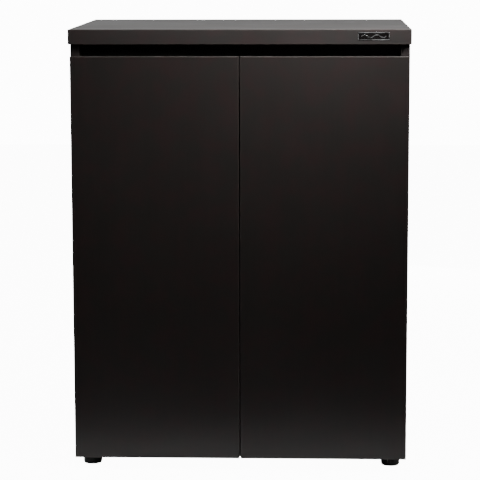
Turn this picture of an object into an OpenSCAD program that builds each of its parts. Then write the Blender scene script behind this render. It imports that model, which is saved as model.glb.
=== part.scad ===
// Aquarium stand: a flat-pack cabinet with two full-overlay doors, which carries a tank on its top board.
// X runs along the front, Y from front to back, Z up. The origin is the middle of the footprint.
// Every left-hand piece is drawn at negative X, and the right-hand one is its mirror image.

/* [Overall] */
// Width of the top board
top_w = 600; // [500:10:900]
// Depth of the top board
top_d = 449; // [380:1:600]
// Height of the doors
door_h = 720; // [560:10:800]
// Height of the gap for fingers between the doors and the top board
finger_gap = 21; // [16:1:40]

/* [Boards] */
// Thickness of the top board
top_t = 26; // [22:1:40]
// Thickness of the sides, bottom, back, shelf and front rail
board_t = 16; // [16:1:20]
// Thickness of the doors
door_t = 16; // [16:1:22]
// How far the top board stands past each side
side_overhang = 2; // [0:0.5:10]
// How far the top board stands past the back, which clears the grommets
rear_overhang = 4; // [3:0.5:20]
// Height of the front rail
rail_h = 70; // [62:1:76]
// How far the front rail stands behind the front edges of the sides
rail_setback = 36; // [30:1:60]

/* [Doors] */
// Gap between the backs of the doors and the cabinet
door_gap = 3; // [3:0.1:4]
// How far each door stops short of the outer face of its side, and of the underside
door_reveal = 1; // [1:0.5:3]
// Gap between the two doors
centre_gap = 2; // [2:0.5:5]
// From each end of a door to the middle of its hinge
hinge_inset = 90; // [90:5:140]
// Radius of a door bumper
bumper_r = 4; // [3:0.5:6]

/* [Shelf] */
// Depth of the shelf, which leaves room for hoses behind it
shelf_d = 300; // [200:10:330]
// Underside of the shelf above the top of the bottom panel
shelf_rise = 360; // [250:10:400]
// How far the shelf stands behind the front edges of the sides
shelf_setback = 30; // [20:1:60]
// From a shelf pin's hole up or down to the spare hole
pin_pitch = 64; // [32:32:96]

/* [Feet] */
// Clear height under the cabinet
foot_h = 20; // [20:1:40]
// Radius of a foot's base
foot_r = 17; // [12:0.5:25]
// From the outer face of a side to the middle of a foot
foot_in_x = 27.5; // [25:0.5:60]
// From the front and rear edges of the sides to the middle of a foot
foot_in_y = 31; // [26:1:60]

/* [Back] */
// Radius of the hole inside a hose grommet
hose_r = 27; // [20:1:32]
// From the inner face of a side to the middle of a grommet
hose_in_x = 75; // [60:1:100]
// From the underside of the top board down to the middle of a grommet
hose_down = 75; // [50:1:120]

/* [Badge] */
// Width of the badge
badge_w = 55; // [30:1:80]
// Height of the badge
badge_h = 13.6; // [8:0.2:18]
// From the right-hand end of the top board to the badge
badge_in = 38.7; // [10:0.1:100]
// From the middle of the top board's edge up to the middle of the badge
badge_lift = 1.3; // [-3:0.1:3]

/* [Hidden] */
$fn = 48;
cut = 1;                 // how far a cut runs past the face that it opens

// Boards and their places
badge_proud = 1;         // how far the badge stands out of the top board
front_y = (badge_proud - top_d) / 2;
case_w = top_w - 2 * side_overhang;
inner_w = case_w - 2 * board_t;
out_x = -case_w / 2;     // outer face of the left side
in_x = -inner_w / 2;     // inner face of the left side
door_back = front_y + door_t;
case_front = door_back + door_gap;
case_back = front_y + top_d - rear_overhang;
case_z = foot_h;
floor_z = case_z + board_t;
door_z = case_z + door_reveal;
top_z = door_z + door_h + finger_gap;
rail_y = case_front + rail_setback;
back_y = case_back - board_t;
door_w = (case_w - 2 * door_reveal - centre_gap) / 2;
shelf_z = floor_z + shelf_rise;
shelf_y = case_front + shelf_setback;

// Cam fittings and dowels
cam_r = 7.5;
cam_floor = 1;           // from a bolt's head to the end of its cam
cam_inset = 24;          // from a board's edge to the middle of a cam
cam_cross = 8;           // size of the cross in the cam's face
cam_cross_depth = 2.5;
bolt_r = 3;              // shank of a cam bolt
bolt_head_r = 3.2;
bolt_head_len = 3;
cam_len = board_t / 2 + bolt_head_r + cam_floor;
bolt_neck_r = 2.1;       // waist of the bolt, inside the cam
thread_r = 2.45;
thread_len = 11;         // how far a bolt or dowel enters the face of a board
dowel_r = 3.95;
dowel_len = 30;
dowel_off = 32;          // from a bolt to the dowel beside it
joint_inset = 80;        // from the sides' front and rear edges to the bolts in the top and bottom
rail_bolt_up = 20;       // from the rail's lower edge to its bolts
rail_dowel_down = 20;    // from the rail's upper edge to its dowels
back_bolt_up = 110;      // from the bottom panel to the back's lower bolts
back_bolt_share = 0.75;  // height of the back's upper bolts as a share of the back's height
snug = 0.05;             // clearance round a piece that is driven into a board
loose = 0.3;             // clearance round a piece that drops into its hole

// Hinges: x is taken from the outer face of the side, y from its front edge
cup_r = 17.5;
cup_depth = 12;
cup_wall = 1;
cup_floor = 0.8;
cup_in = 3;              // from the door's edge to the cup
flange_t = 1.2;
flange_lip = 1.5;        // how far the flange stands past the cup
wing_r = 5;              // round ends of the flange's wings, round their screws
notch_depth = 3;         // depth of the notch in the cup's rim, where the open arm lies
knuckle_x = 7;           // from the door's edge to the hinge pin
knuckle_y = 9.2;         // from the door's back to the hinge pin
knuckle_r = 1.8;
knuckle_w = 9;
pin_r = 1;
pin_fit = 0.02;          // clearance of the pin in the ears of the cup
pin_run = 0.06;          // clearance of the pin in the knuckle
ear_gap = 0.5;           // from the knuckle to each ear
ear_t = 1.6;
ear_low_x = 2;           // from the pin to the ear's edges
ear_high_x = 2.4;
neck_t = 2;
neck_gap = 3;            // from the side's inner face to the hinge arm
arm_end_wall = 2;
arm_w = 17;
arm_h = 8;
arm_len = 62;            // from the front edge of the side to the arm's end
arm_wall = 1.2;
arm_front = 8;           // from the front edge of the side to the arm's own front
plate_line = 37;         // from the front edge of the side to the plate's screws
plate_t = 2.8;
plate_w = 16;
plate_h = 52;
plate_screw_off = 16;
plate_slack = 0.2;       // clearance between the plate and the arm
block_front = 13;        // from the front edge of the side to the block on the plate
block_rear = 58;
plate_screw_len = 11.5;  // how far a plate screw enters the side
plate_screw_head_r = 4;
plate_screw_head_t = 1.5;
cup_screw_x = 9.5;       // from the middle of the cup to its screws, away from the door's edge
cup_screw_z = 22.5;
cup_screw_r = 1.6;
cup_screw_len = 11;
cup_screw_head_r = 3.4;
cup_screw_head_t = 1;
fixing_screw_y = 48;     // from the front edge of the side to the screw that holds the arm to the plate
fixing_screw_r = 2;
fixing_screw_len = 6;
fixing_screw_head_r = 3.6;
fixing_screw_head_t = 1.8;
adjusting_screw_y = 24;  // from the front edge of the side to the screw that sets the arm's tilt
adjusting_screw_r = 2.5;
adjusting_screw_out = 0.9;
screw_cross = 4.4;       // size of the cross in a screw's head
screw_cross_depth = 0.8;
small_cross = 3.6;
hole_slack = 0.1;        // clearance round a screw that passes through sheet metal

// Shelf and its pins
shelf_clear = 1;         // clearance at each end of the shelf
shelf_pin_r = 2.5;
shelf_pin_len = 8;
shelf_pin_in = 40;       // from the shelf's front and back to its pins
pin_collar_r = 3.75;
pin_collar_t = 0.8;
pin_ledge_r = 3.5;
pin_ledge_len = 7;
bumper_xs = [20, 150];   // from the doors' meeting edges to their bumpers
bumper_slack = 0.2;      // from a bumper to the cabinet

// Feet
foot_round = 1.2;
foot_base_h = 14;
foot_hex_h = 3;
foot_hex_r = 8;
foot_chamfer = 1;
bore_r = 4;              // hole in the insert, in which the stud runs
stud_sunk = 9;           // how far the stud sits in the base
insert_r = 5;
insert_len = 13;
insert_flange_r = 7;
insert_flange_t = 1;
foot_up = 2.5;           // travel of a foot towards the cabinet
stud_foot = foot_base_h + foot_hex_h - stud_sunk;
stud_top = case_z + insert_len - foot_up;

// Grommets
grommet_wall = 3;
grommet_lip = 4;
grommet_lip_t = 2;

upper_z = door_z + door_h - hinge_inset;
lower_z = door_z + hinge_inset;
hinge_zs = [lower_z, upper_z];

// Each fitting is [middle of the cam on the board's face, outward normal of that face, way of the bolt].
joint_ys = [case_front + joint_inset, case_back - joint_inset];
back_zs = [floor_z + back_bolt_up, floor_z + back_bolt_share * (top_z - floor_z)];
top_fits = [for (y = joint_ys) [[in_x, y, top_z - cam_inset], [1, 0, 0], [0, 0, 1]]];
bottom_fits = [for (y = joint_ys) [[in_x + cam_inset, y, case_z], [0, 0, -1], [-1, 0, 0]]];
rail_fits = [[[in_x + cam_inset, rail_y + board_t, top_z - rail_h + rail_bolt_up], [0, 1, 0], [-1, 0, 0]]];
back_fits = [for (z = back_zs) [[in_x + cam_inset, back_y, z], [0, -1, 0], [-1, 0, 0]]];
fits = concat(top_fits, bottom_fits, rail_fits, back_fits);

// Each dowel is [the point where it crosses the joint, its way into the board whose face it enters].
dowel_ys = [joint_ys[0] + dowel_off, joint_ys[1] - dowel_off];
top_dowels = [for (y = dowel_ys) [[out_x + board_t / 2, y, top_z], [0, 0, 1]]];
side_dowels = concat(
    [for (y = dowel_ys) [[in_x, y, case_z + board_t / 2], [-1, 0, 0]]],
    [[[in_x, rail_y + board_t / 2, top_z - rail_dowel_down], [-1, 0, 0]]],
    [for (z = back_zs) [[in_x, back_y + board_t / 2, z + dowel_off], [-1, 0, 0]]]
);

// Each foot is a point on the underside of the cabinet, front one first.
foot_x = out_x + foot_in_x;
foot_ys = [case_front + foot_in_y, case_back - foot_in_y];
shelf_pin_ys = [shelf_y + shelf_pin_in, shelf_y + shelf_d - shelf_pin_in];

// ---- Helpers ----

// Puts a child at p, with its Z axis along n and its X axis along u.
module place(p, n, u) {
    v = cross(n, u);
    multmatrix([[u[0], v[0], n[0], p[0]], [u[1], v[1], n[1], p[1]], [u[2], v[2], n[2], p[2]], [0, 0, 0, 1]])
        children();
}

module both_sides() {
    children();
    mirror([1, 0, 0]) children();
}

// A box from its lowest corner to its highest.
module block(low, high) translate(low) cube(high - low);

// A cylinder along the way u, from the point p.
module rod(p, u, r, h) {
    side = abs(u[2]) > 0.5 ? [1, 0, 0] : [0, 0, 1];
    place(p, u, side) cylinder(r = r, h = h);
}

// ---- Cam fittings and dowels ----

module cam_bores(list) for (f = list) place(f[0], f[1], f[2]) {
    translate([0, 0, -cam_len - loose]) cylinder(r = cam_r + loose / 3, h = cam_len + loose + cut);
    rod([0, 0, -board_t / 2], [1, 0, 0], bolt_head_r + loose, cam_inset + cut);
}

module thread_bores(list) for (f = list) place(f[0], f[1], f[2])
    rod([cam_inset - cut, 0, -board_t / 2], [1, 0, 0], thread_r + snug, thread_len + cut + loose);

module dowel_bores(list) for (d = list)
    rod(d[0] - (dowel_len - thread_len + loose) * d[1], d[1], dowel_r + snug, dowel_len + 2 * loose);

// The drive recess of a screw or cam: a cross in the face at z = 0.
module cross_recess(size, depth) translate([0, 0, -depth]) {
    translate([-size / 2, -size / 8, 0]) cube([size, size / 4, depth + cut]);
    translate([-size / 8, -size / 2, 0]) cube([size / 4, size, depth + cut]);
}

module cam_lock() difference() {
    translate([0, 0, -cam_len]) cylinder(r = cam_r, h = cam_len);
    cross_recess(cam_cross, cam_cross_depth);
    translate([-bolt_head_r - loose, -bolt_head_r - loose, -board_t / 2 - bolt_head_r - loose])
        cube([cam_r + bolt_head_r + cut, 2 * (bolt_head_r + loose), 2 * (bolt_head_r + loose)]);
}

module cam_bolt() translate([0, 0, -board_t / 2]) {
    rod([-bolt_head_len / 2, 0, 0], [1, 0, 0], bolt_head_r, bolt_head_len);
    rod([0, 0, 0], [1, 0, 0], bolt_neck_r, cam_r + cut);
    rod([cam_r, 0, 0], [1, 0, 0], bolt_r, cam_inset - cam_r);
    rod([cam_inset - cut, 0, 0], [1, 0, 0], thread_r, thread_len + cut);
}

module cam_locks() color("silver") both_sides() for (f = fits) place(f[0], f[1], f[2]) cam_lock();
module cam_bolts() color("gainsboro") both_sides() for (f = fits) place(f[0], f[1], f[2]) cam_bolt();
module wood_dowels() color("burlywood") both_sides() for (d = concat(top_dowels, side_dowels))
    rod(d[0] - (dowel_len - thread_len) * d[1], d[1], dowel_r, dowel_len);

// ---- Boards ----

module top_board() color([0.13, 0.12, 0.12]) difference() {
    block([-top_w / 2, front_y, top_z], [top_w / 2, front_y + top_d, top_z + top_t]);
    both_sides() {
        thread_bores(top_fits);
        dowel_bores(top_dowels);
    }
}

module side_panel() color([0.12, 0.11, 0.11]) difference() {
    block([out_x, case_front, case_z], [in_x, case_back, top_z]);
    cam_bores(top_fits);
    dowel_bores(concat(top_dowels, side_dowels));
    thread_bores(concat(bottom_fits, rail_fits, back_fits));
    for (z = hinge_zs, s = [-1, 1])
        rod([in_x + cut, case_front + plate_line, z + s * plate_screw_off], [-1, 0, 0],
            thread_r + snug, plate_screw_len + loose + cut);
    for (y = shelf_pin_ys, s = [-1, 0, 1])
        rod([in_x + cut, y, shelf_z + s * pin_pitch - shelf_pin_r], [-1, 0, 0],
            shelf_pin_r + snug, shelf_pin_len + loose + cut);
}

module bottom_panel() color([0.12, 0.11, 0.11]) difference() {
    block([in_x, case_front, case_z], [-in_x, case_back, floor_z]);
    both_sides() {
        cam_bores(bottom_fits);
        dowel_bores(side_dowels);
        for (y = foot_ys) translate([foot_x, y, case_z - cut]) {
            cylinder(r = insert_r + snug, h = insert_len + loose + cut);
            cylinder(r = insert_flange_r + snug, h = insert_flange_t + cut);
        }
    }
}

module back_panel() color([0.12, 0.11, 0.11]) difference() {
    block([in_x, back_y, floor_z], [-in_x, case_back, top_z]);
    both_sides() {
        cam_bores(back_fits);
        dowel_bores(side_dowels);
        rod([in_x + hose_in_x, back_y - cut, top_z - hose_down], [0, 1, 0],
            hose_r + grommet_wall + snug, board_t + 2 * cut);
    }
}

module front_rail() color([0.06, 0.06, 0.06]) difference() {
    block([in_x, rail_y, top_z - rail_h], [-in_x, rail_y + board_t, top_z]);
    both_sides() {
        cam_bores(rail_fits);
        dowel_bores(side_dowels);
    }
}

module shelf() color([0.12, 0.11, 0.11])
    block([in_x + shelf_clear, shelf_y, shelf_z],
          [-in_x - shelf_clear, shelf_y + shelf_d, shelf_z + board_t]);

// A peg in the side with a round ledge, flat on top, that the shelf lies on.
module shelf_pins() color("silver") both_sides() for (y = shelf_pin_ys) {
    low = shelf_z - shelf_pin_r - pin_ledge_r;
    rod([in_x - shelf_pin_len, y, shelf_z - shelf_pin_r], [1, 0, 0],
        shelf_pin_r, shelf_pin_len + pin_collar_t);
    rod([in_x, y, shelf_z - shelf_pin_r], [1, 0, 0], pin_collar_r, pin_collar_t);
    intersection() {
        rod([in_x, y, shelf_z - shelf_pin_r], [1, 0, 0], pin_ledge_r, pin_ledge_len);
        block([in_x, y - pin_ledge_r, low], [in_x + pin_ledge_len, y + pin_ledge_r, shelf_z]);
    }
}

module hose_grommet() color([0.1, 0.1, 0.1]) {
    r = hose_r + grommet_wall;
    difference() {
        union() {
            rod([in_x + hose_in_x, back_y, top_z - hose_down], [0, 1, 0], r, board_t + cut);
            rod([in_x + hose_in_x, case_back, top_z - hose_down], [0, 1, 0], r + grommet_lip, grommet_lip_t);
        }
        rod([in_x + hose_in_x, back_y - cut, top_z - hose_down], [0, 1, 0],
            hose_r, board_t + grommet_lip_t + 2 * cut);
    }
}

// ---- Badge ----

badge_x = top_w / 2 - badge_in - badge_w / 2;
badge_round = 1.6;
badge_plate_t = 0.6;
badge_edge = 0.2;        // how far the rim stands inside the plate's edge
badge_rim = 0.9;

module badge_outline(inset) {
    w = badge_w / 2 - inset;
    h = badge_h / 2 - inset;
    r = badge_round - inset / 2;
    square([2 * w - 2 * r, 2 * h], center = true);
    square([2 * w, 2 * h - 2 * r], center = true);
    for (x = [-1, 1], y = [-1, 1]) translate([x * (w - r), y * (h - r)]) circle(r = r);
}

module on_badge(lift, t) translate([badge_x, front_y - lift, top_z + top_t / 2 + badge_lift])
    rotate([90, 0, 0]) linear_extrude(t) children();

module badge_plate() color([0.03, 0.03, 0.03]) on_badge(0, badge_plate_t) badge_outline(0);

// A rim with one ripple inside it: a wave of even width, worked out from a sine.
wave_len = badge_w - 12;
wave_amp = badge_h / 6;
wave_t = 1.3;
wave_count = 2;
wave_n = 36;
function wave_y(i) = wave_amp * sin(wave_count * 360 * i / wave_n);
function wave_at(i, s) = [(i / wave_n - 0.5) * wave_len, wave_y(i) + s * wave_t / 2];
wave = concat([for (i = [0:wave_n]) wave_at(i, 1)], [for (i = [wave_n:-1:0]) wave_at(i, -1)]);

module badge_emblem() color("silver") on_badge(badge_plate_t, badge_proud - badge_plate_t) {
    difference() {
        badge_outline(badge_edge);
        badge_outline(badge_edge + badge_rim);
    }
    polygon(wave);
}

// ---- Hinges, drawn for the left door at height 0 ----

module at_hinge(z) translate([out_x, case_front, z]) children();

cup_x = door_reveal + cup_in + cup_r;
pin_x = door_reveal + knuckle_x;
pin_y = -door_gap - knuckle_y;
neck_x = board_t + neck_gap;
plate_x = board_t;
web_x = neck_x + arm_h;
block_x = web_x - arm_wall - plate_slack;

module hinge_cup() color("silver") difference() {
    union() {
        difference() {
            union() {
                rod([cup_x, -door_gap, 0], [0, -1, 0], cup_r, cup_depth);
                rod([cup_x, -door_gap, 0], [0, 1, 0], cup_r + flange_lip, flange_t);
                block([cup_x + cup_screw_x - wing_r, -door_gap, -cup_screw_z],
                      [cup_x + cup_screw_x + wing_r, -door_gap + flange_t, cup_screw_z]);
                for (s = [-1, 1])
                    rod([cup_x + cup_screw_x, -door_gap, s * cup_screw_z], [0, 1, 0], wing_r, flange_t);
            }
            rod([cup_x, -door_gap - cup_depth + cup_floor, 0], [0, 1, 0],
                cup_r - cup_wall, cup_depth + flange_t + cut);
            block([door_reveal, -door_gap - notch_depth, -ear_z(0)],
                  [pin_x, -door_gap + flange_t + cut, ear_z(0)]);
        }
        for (s = [-1, 1]) hinge_ear(s);
    }
    rod([pin_x, pin_y, -ear_z(1) - cut], [0, 0, 1], pin_r + pin_fit, 2 * (ear_z(1) + cut));
    for (s = [-1, 1]) rod([cup_x + cup_screw_x, -door_gap - cut, s * cup_screw_z], [0, 1, 0],
        cup_screw_r + hole_slack, flange_t + 2 * cut);
}

// Inner and outer faces of the ears that hold the hinge pin.
function ear_z(outer) = knuckle_w / 2 + ear_gap + outer * ear_t;

module hinge_ear(s) {
    low = min(s * ear_z(0), s * ear_z(1));
    block([pin_x - ear_low_x, -door_gap - cup_depth + cup_floor / 2, low],
          [pin_x + ear_high_x, pin_y + pin_r + ear_t / 2, low + ear_t]);
}

module hinge_pin() rod([pin_x, pin_y, -ear_z(1)], [0, 0, 1], pin_r, 2 * ear_z(1));

module cup_screw(s) difference() {
    union() {
        rod([cup_x + cup_screw_x, -door_gap - cup_screw_len, s * cup_screw_z], [0, 1, 0],
            cup_screw_r, cup_screw_len + flange_t);
        rod([cup_x + cup_screw_x, -door_gap + flange_t, s * cup_screw_z], [0, 1, 0],
            cup_screw_head_r, cup_screw_head_t);
    }
    translate([cup_x + cup_screw_x, -door_gap + flange_t + cup_screw_head_t, s * cup_screw_z])
        place([0, 0, 0], [0, 1, 0], [1, 0, 0]) cross_recess(small_cross, screw_cross_depth);
}

module hinge_arm() color("silver") difference() {
    union() {
        rod([pin_x, pin_y, -knuckle_w / 2], [0, 0, 1], knuckle_r, knuckle_w);
        block([pin_x, pin_y - neck_t / 2, -knuckle_w / 2],
              [neck_x + neck_t, pin_y + neck_t / 2, knuckle_w / 2]);
        block([neck_x, pin_y - neck_t / 2, -knuckle_w / 2],
              [neck_x + neck_t, arm_front + arm_end_wall / 2, knuckle_w / 2]);
        block([neck_x, arm_front, -arm_w / 2], [web_x, arm_len, arm_w / 2]);
    }
    rod([pin_x, pin_y, -knuckle_w], [0, 0, 1], pin_r + pin_run, 2 * knuckle_w);
    block([neck_x - cut, arm_front + arm_end_wall, -arm_w / 2 + arm_wall],
          [web_x - arm_wall, arm_len + cut, arm_w / 2 - arm_wall]);
    rod([web_x - arm_wall - cut, fixing_screw_y, 0], [1, 0, 0],
        fixing_screw_r + hole_slack, arm_wall + 2 * cut);
    rod([web_x - arm_wall - cut, adjusting_screw_y, 0], [1, 0, 0],
        adjusting_screw_r + hole_slack, arm_wall + 2 * cut);
}

module hinge_plate() color("silver") difference() {
    union() {
        block([plate_x, plate_line - plate_w / 2, -plate_h / 2],
              [plate_x + plate_t, plate_line + plate_w / 2, plate_h / 2]);
        block([plate_x, block_front, -arm_w / 2 + arm_wall + plate_slack],
              [block_x, block_rear, arm_w / 2 - arm_wall - plate_slack]);
    }
    for (s = [-1, 1]) {
        rod([plate_x - cut, plate_line, s * plate_screw_off], [1, 0, 0], thread_r + snug, plate_t + 2 * cut);
        rod([plate_x + plate_t - plate_screw_head_t, plate_line, s * plate_screw_off], [1, 0, 0],
            plate_screw_head_r + hole_slack, plate_screw_head_t + cut);
    }
    rod([block_x - fixing_screw_len - loose, fixing_screw_y, 0], [1, 0, 0], fixing_screw_r + snug, board_t);
}

module plate_screw(s) difference() {
    union() {
        rod([plate_x - plate_screw_len, plate_line, s * plate_screw_off], [1, 0, 0],
            thread_r, plate_screw_len + plate_t / 2);
        rod([plate_x + plate_t - plate_screw_head_t, plate_line, s * plate_screw_off], [1, 0, 0],
            plate_screw_head_r, plate_screw_head_t);
    }
    place([plate_x + plate_t, plate_line, s * plate_screw_off], [1, 0, 0], [0, 1, 0])
        cross_recess(screw_cross, screw_cross_depth);
}

module arm_screws() {
    difference() {
        union() {
            rod([block_x - fixing_screw_len, fixing_screw_y, 0], [1, 0, 0],
                fixing_screw_r, fixing_screw_len + web_x - block_x);
            rod([web_x, fixing_screw_y, 0], [1, 0, 0], fixing_screw_head_r, fixing_screw_head_t);
        }
        place([web_x + fixing_screw_head_t, fixing_screw_y, 0], [1, 0, 0], [0, 1, 0])
            cross_recess(screw_cross, screw_cross_depth);
    }
    difference() {
        rod([block_x, adjusting_screw_y, 0], [1, 0, 0],
            adjusting_screw_r, web_x - block_x + adjusting_screw_out);
        place([web_x + adjusting_screw_out, adjusting_screw_y, 0], [1, 0, 0], [0, 1, 0])
            cross_recess(small_cross, screw_cross_depth);
    }
}

module hinge_plate_screws() color("gainsboro") both_sides() for (z = hinge_zs, s = [-1, 1])
    at_hinge(z) plate_screw(s);
module hinge_arm_screws() color("gainsboro") both_sides() for (z = hinge_zs) at_hinge(z) arm_screws();
module hinge_pins() color("gainsboro") for (z = hinge_zs) at_hinge(z) hinge_pin();
module cup_screws() color("gainsboro") for (z = hinge_zs, s = [-1, 1]) at_hinge(z) cup_screw(s);

// ---- Doors ----

module door() color([0.12, 0.11, 0.11]) difference() {
    block([out_x + door_reveal, front_y, door_z], [out_x + door_reveal + door_w, door_back, door_z + door_h]);
    for (z = hinge_zs) at_hinge(z) {
        rod([cup_x, -door_gap + cut, 0], [0, -1, 0], cup_r + snug, cup_depth + snug + cut);
        for (s = [-1, 1])
            rod([cup_x + cup_screw_x, -door_gap + cut, s * cup_screw_z], [0, -1, 0],
                cup_screw_r + snug, cup_screw_len + loose + cut);
    }
}

// Soft domes near the foot of the door, which meet the front edge of the bottom panel.
module door_bumpers() color([0.7, 0.7, 0.7]) for (x = bumper_xs)
    translate([-centre_gap / 2 - x, door_back, case_z + board_t / 2]) intersection() {
        sphere(r = bumper_r);
        block([-bumper_r, 0, -bumper_r], [bumper_r, door_gap - bumper_slack, bumper_r]);
    }

// ---- Feet ----

module foot_base(y) color([0.05, 0.05, 0.05]) translate([foot_x, y, 0]) difference() {
    union() {
        rotate_extrude() polygon(concat(
            [[0, 0]],
            [for (a = [0:15:90]) [foot_r - foot_round * (1 - sin(a)), foot_round * (1 - cos(a))]],
            [[foot_r, foot_base_h - foot_chamfer], [foot_r - foot_chamfer, foot_base_h], [0, foot_base_h]]
        ));
        cylinder(r = foot_hex_r, h = foot_base_h + foot_hex_h, $fn = 6);
    }
    translate([0, 0, stud_foot - loose]) cylinder(r = bore_r, h = stud_sunk + loose + cut);
}

module foot_stud(y) color("silver") translate([foot_x, y, stud_foot])
    cylinder(r = bore_r - snug, h = stud_top - stud_foot);

module foot_insert() difference() {
    union() {
        cylinder(r = insert_r, h = insert_len);
        cylinder(r = insert_flange_r, h = insert_flange_t);
    }
    translate([0, 0, -cut]) cylinder(r = bore_r, h = insert_len + 2 * cut);
}

module foot_inserts() color("goldenrod") both_sides() for (y = foot_ys)
    translate([foot_x, y, case_z]) foot_insert();

// ---- The parts ----

top_board();
side_panel();  // left_side_panel
mirror([1, 0, 0]) side_panel();  // right_side_panel
bottom_panel();
back_panel();
front_rail();
shelf();
shelf_pins();
cam_locks();
cam_bolts();
wood_dowels();
hose_grommet();  // left_hose_grommet
mirror([1, 0, 0]) hose_grommet();  // right_hose_grommet
badge_plate();
badge_emblem();
foot_inserts();
at_hinge(upper_z) hinge_arm();  // left_upper_hinge_arm
at_hinge(lower_z) hinge_arm();  // left_lower_hinge_arm
mirror([1, 0, 0]) at_hinge(upper_z) hinge_arm();  // right_upper_hinge_arm
mirror([1, 0, 0]) at_hinge(lower_z) hinge_arm();  // right_lower_hinge_arm
at_hinge(upper_z) hinge_plate();  // left_upper_hinge_plate
at_hinge(lower_z) hinge_plate();  // left_lower_hinge_plate
mirror([1, 0, 0]) at_hinge(upper_z) hinge_plate();  // right_upper_hinge_plate
mirror([1, 0, 0]) at_hinge(lower_z) hinge_plate();  // right_lower_hinge_plate
hinge_plate_screws();
hinge_arm_screws();
door();  // left_door
at_hinge(upper_z) hinge_cup();  // left_upper_hinge_cup
at_hinge(lower_z) hinge_cup();  // left_lower_hinge_cup
hinge_pins();  // left_hinge_pins
cup_screws();  // left_cup_screws
door_bumpers();  // left_door_bumpers
mirror([1, 0, 0]) door();  // right_door
mirror([1, 0, 0]) at_hinge(upper_z) hinge_cup();  // right_upper_hinge_cup
mirror([1, 0, 0]) at_hinge(lower_z) hinge_cup();  // right_lower_hinge_cup
mirror([1, 0, 0]) hinge_pins();  // right_hinge_pins
mirror([1, 0, 0]) cup_screws();  // right_cup_screws
mirror([1, 0, 0]) door_bumpers();  // right_door_bumpers
foot_base(foot_ys[0]);  // front_left_foot
foot_stud(foot_ys[0]);  // front_left_stud
mirror([1, 0, 0]) foot_base(foot_ys[0]);  // front_right_foot
mirror([1, 0, 0]) foot_stud(foot_ys[0]);  // front_right_stud
foot_base(foot_ys[1]);  // rear_left_foot
foot_stud(foot_ys[1]);  // rear_left_stud
mirror([1, 0, 0]) foot_base(foot_ys[1]);  // rear_right_foot
mirror([1, 0, 0]) foot_stud(foot_ys[1]);  // rear_right_stud
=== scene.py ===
"""Aquarium stand: the finished look of the cabinet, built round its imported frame.

Sizes are in metres, in the frame's own axes: +X to the right, +Y to the back, +Z up.
"""
import logging
import math
from collections.abc import Callable, Iterable
from dataclasses import dataclass, field
from enum import Enum

import bmesh
import bpy
from mathutils import Matrix, Quaternion, Vector


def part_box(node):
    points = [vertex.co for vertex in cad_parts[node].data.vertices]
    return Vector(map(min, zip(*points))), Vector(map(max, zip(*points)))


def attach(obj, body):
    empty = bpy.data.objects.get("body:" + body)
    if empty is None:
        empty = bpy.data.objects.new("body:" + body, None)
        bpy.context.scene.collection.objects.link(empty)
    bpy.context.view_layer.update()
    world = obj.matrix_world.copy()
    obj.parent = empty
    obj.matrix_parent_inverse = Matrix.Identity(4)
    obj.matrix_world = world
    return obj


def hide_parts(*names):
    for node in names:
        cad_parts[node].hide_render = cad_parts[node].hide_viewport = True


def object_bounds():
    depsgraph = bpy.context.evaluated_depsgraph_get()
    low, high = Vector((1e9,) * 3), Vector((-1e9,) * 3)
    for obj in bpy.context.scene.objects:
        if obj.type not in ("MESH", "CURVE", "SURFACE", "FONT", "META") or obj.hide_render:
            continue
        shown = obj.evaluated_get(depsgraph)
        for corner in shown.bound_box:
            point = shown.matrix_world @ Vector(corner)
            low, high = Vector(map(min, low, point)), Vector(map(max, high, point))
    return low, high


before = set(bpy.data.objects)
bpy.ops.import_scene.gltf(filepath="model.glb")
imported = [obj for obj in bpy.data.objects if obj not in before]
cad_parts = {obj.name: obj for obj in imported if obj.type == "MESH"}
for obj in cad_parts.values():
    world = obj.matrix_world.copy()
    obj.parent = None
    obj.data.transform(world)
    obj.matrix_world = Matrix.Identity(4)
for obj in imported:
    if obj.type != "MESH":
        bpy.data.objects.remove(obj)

LOG = logging.getLogger("aquarium_stand")
MM = 0.001
WELD = 1e-6
FLAT_ANGLE = math.radians(0.3)
NORMAL_WEIGHT = 80
CAD_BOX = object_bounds()

Socket = bpy.types.NodeSocket
Colour = tuple[float, float, float]
Feed = float | tuple | Socket


class Side(Enum):
    """The two sides of the cabinet, with the sign of X on each."""

    LEFT = -1
    RIGHT = 1

    @property
    def word(self) -> str:
        """The side's name in lower case, as node names have it."""
        return self.name.lower()


class Way(Enum):
    """A direction along which a grain or a brushing runs, as a stretch of the pattern's space."""

    ALONG_X = (0.06, 1.0, 1.0)
    ALONG_Y = (1.0, 0.06, 1.0)
    ALONG_Z = (1.0, 1.0, 0.06)
    NONE = (1.0, 1.0, 1.0)


# ---- Shader graphs ----


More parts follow.
